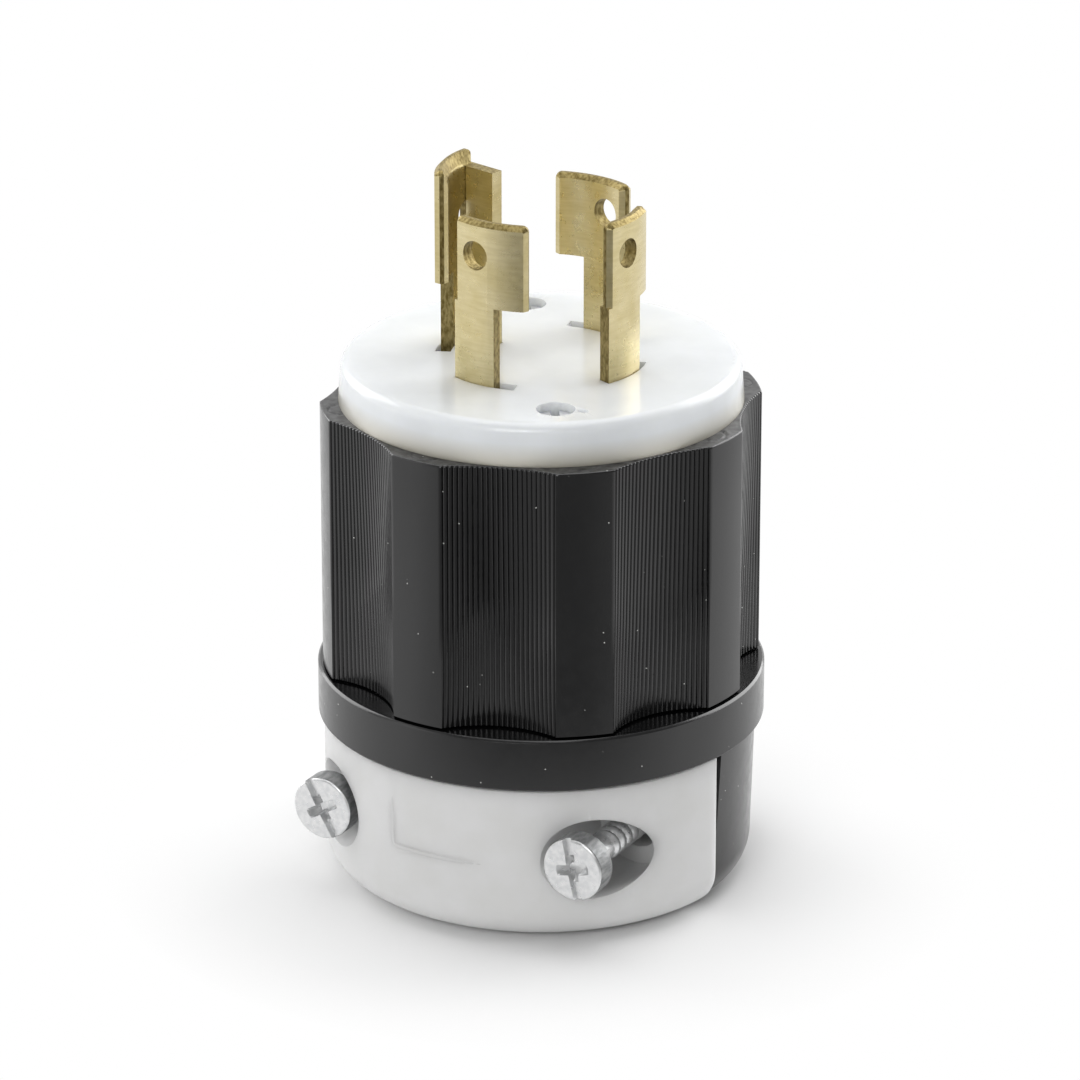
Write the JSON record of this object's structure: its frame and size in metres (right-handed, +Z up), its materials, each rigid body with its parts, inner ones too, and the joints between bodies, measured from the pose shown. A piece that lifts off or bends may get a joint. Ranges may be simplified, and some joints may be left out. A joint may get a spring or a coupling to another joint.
{
  "type": "locking plug",
  "caption": "Locking power plug with curved hooked brass blades on a white face, a scalloped black grip and a two-part screw-tightened cord clamp.",
  "frame": {"origin": "centre of the base, on the plug's axis, at the level of the face that it stands on", "axes": "+Z up the plug's axis to the blade tips; -Y towards the heads of the cord clamp's screws"},
  "size_m": [0.0502, 0.0502, 0.0824],
  "materials": {
    "face_nylon": "moulded white nylon, satin",
    "black_nylon": "moulded black nylon, satin",
    "grey_nylon": "moulded light grey nylon, satin",
    "blade_brass": "brushed",
    "zinc_steel": "zinc-plated",
    "green_screw": "green dyed plating"
  },
  "bodies": {
    "root": {"face_cover": "face_nylon", "grip_shell": "black_nylon", "rear_housing": "black_nylon", "terminal_carrier": "face_nylon", "assembly_screw_front": "zinc_steel", "assembly_screw_rear": "zinc_steel", "blade_line_x": "blade_brass", "blade_line_y": "blade_brass", "blade_neutral": "blade_brass", "blade_ground": "blade_brass", "terminal_screw_line_x": "blade_brass", "terminal_screw_line_y": "blade_brass", "terminal_screw_neutral": "zinc_steel", "terminal_screw_ground": "green_screw", "terminal_clamp_line_x": "blade_brass", "terminal_clamp_line_y": "blade_brass", "terminal_clamp_neutral": "blade_brass", "terminal_clamp_ground": "blade_brass"},
    "jaw": {"clamp_jaw": "grey_nylon"},
    "left_screw": {"clamp_screw_left": "zinc_steel"},
    "right_screw": {"clamp_screw_right": "zinc_steel"}
  },
  "joints": [
    {"name": "jaw_slide", "type": "slide", "parent": "root", "child": "jaw", "axis": [0, 1, 0], "range_m": [-0.0109, 0.0004]},
    {"name": "left_screw_drive", "type": "slide", "parent": "root", "child": "left_screw", "axis": [0, 1, 0], "range_m": [-0.0025, 0.0109]},
    {"name": "right_screw_drive", "type": "slide", "parent": "root", "child": "right_screw", "axis": [0, 1, 0], "range_m": [-0.0025, 0.0123]}
  ]
}
